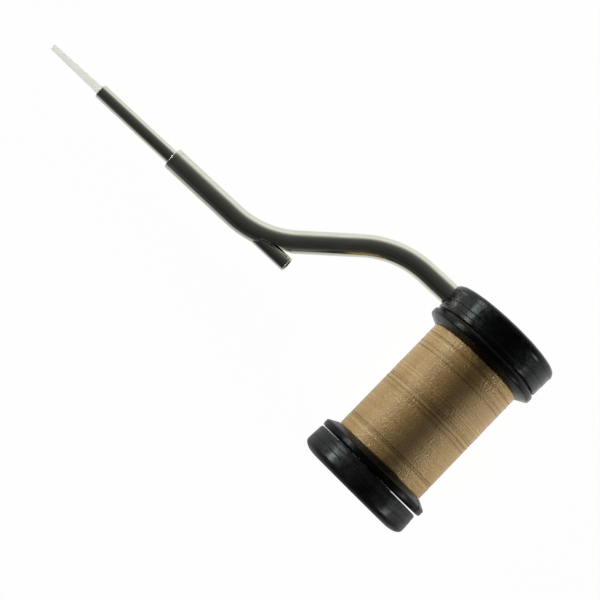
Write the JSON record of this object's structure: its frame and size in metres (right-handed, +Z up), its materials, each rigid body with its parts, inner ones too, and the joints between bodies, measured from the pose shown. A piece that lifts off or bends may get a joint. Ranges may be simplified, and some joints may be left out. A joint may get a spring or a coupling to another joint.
{
  "type": "rotary thread bobbin holder",
  "caption": "Hand-held holder for a spool of tying thread: bent steel arm, guide tube with a fine nozzle, and a flanged spool turning on an axle between a housing and a drag knob.",
  "frame": {"origin": "On the table, under the middle of the tool's box as it lies on its spool's rims and the nozzle's tip", "axes": "+X from the nozzle to the spool, +Y along the axle from the knob to the housing, +Z up"},
  "size_m": [0.099, 0.0378, 0.022],
  "materials": {
    "polished_steel": "polished stainless steel tube, mirror bright",
    "tube_steel": "polished stainless steel tube",
    "plain_steel": "turned",
    "screw_steel": "blackened",
    "milky_nozzle": "milky, slightly translucent, smooth",
    "black_housing": "satin gloss",
    "black_knob": "satin gloss",
    "black_spool": "satin gloss",
    "fibre_washer": "matt fibre",
    "white_washer": "matt",
    "tan_thread": "twisted filament thread with a soft sheen",
    "brass_bush": "turned"
  },
  "bodies": {
    "arm": {"arm_tube": "polished_steel", "thread_tube": "tube_steel", "nozzle": "milky_nozzle", "housing_plate": "black_housing", "housing_cover": "black_housing", "housing_screw": "screw_steel", "axle": "plain_steel", "friction_washer": "fibre_washer", "thrust_washer": "white_washer", "spring_washer": "plain_steel"},
    "spool": {"spool": "black_spool", "thread_pack": "tan_thread", "thread_turns": "tan_thread"},
    "drag_carrier": {"key_washer": "plain_steel"},
    "knob": {"knob_plate": "black_knob", "knob_cover": "black_knob", "knob_bush": "brass_bush"}
  },
  "joints": [
    {"name": "spool_spin", "type": "hinge", "parent": "arm", "child": "spool", "pos_m": [0.03854, -0.00035, 0.011], "axis": [0, 1, 0], "continuous": true},
    {"name": "knob_travel", "type": "slide", "parent": "arm", "child": "drag_carrier", "axis": [0, 1, 0], "range_m": [-0.000751, 0]},
    {"name": "knob_turn", "type": "hinge", "parent": "drag_carrier", "child": "knob", "pos_m": [0.03854, -0.01635, 0.011], "axis": [0, 1, 0], "range_deg": [-540, 0]}
  ],
  "couplings": [
    {"joint": "knob_travel", "follows": "knob_turn", "m_per_rad": 0.000079577}
  ]
}
